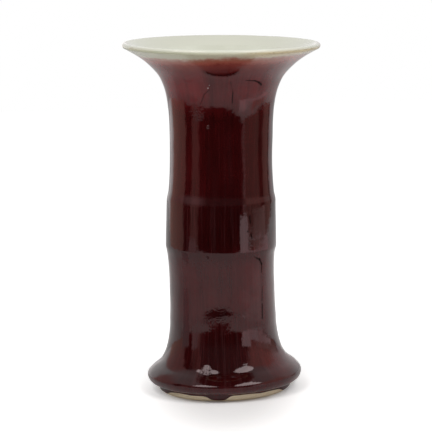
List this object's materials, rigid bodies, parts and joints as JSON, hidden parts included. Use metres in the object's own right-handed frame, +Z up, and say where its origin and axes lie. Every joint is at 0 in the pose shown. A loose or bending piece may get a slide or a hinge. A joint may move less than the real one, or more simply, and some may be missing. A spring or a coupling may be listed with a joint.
{
  "type": "gu-form beaker vase",
  "caption": "Tall beaker vase with a trumpet mouth, a raised middle band and a spreading rounded foot on a bare foot ring; holds cut stems or stands alone.",
  "frame": {"origin": "centre of the flat face that the foot ring stands on", "axes": "+Z up along the foot's axis, +X towards the side that the two upper sections lean to"},
  "size_m": [0.2253, 0.2254, 0.403],
  "materials": {
    "porcelain_body": "fired porcelain body",
    "foot_biscuit": "bare, slightly burnt buff foot, matt",
    "luting_slip": "fired slip",
    "rim_glaze": "glassy pale celadon-white where the red has run off the lip",
    "red_glaze": "glassy deep copper red with fine vertical streaks",
    "pale_glaze": "glassy pale celadon-white"
  },
  "bodies": {
    "root": {"mouth_section": "porcelain_body", "band_section": "porcelain_body", "foot_section": "porcelain_body", "floor_disc": "porcelain_body", "foot_ring": "foot_biscuit", "upper_luting_slip": "luting_slip", "lower_luting_slip": "luting_slip", "floor_luting_slip": "luting_slip", "foot_ring_luting_slip": "luting_slip", "rim_glaze": "rim_glaze", "mouth_red_glaze": "red_glaze", "band_red_glaze": "red_glaze", "foot_red_glaze": "red_glaze", "upper_lining_glaze": "pale_glaze", "lower_lining_glaze": "pale_glaze", "floor_glaze": "pale_glaze", "base_glaze": "pale_glaze"}
  },
  "joints": []
}
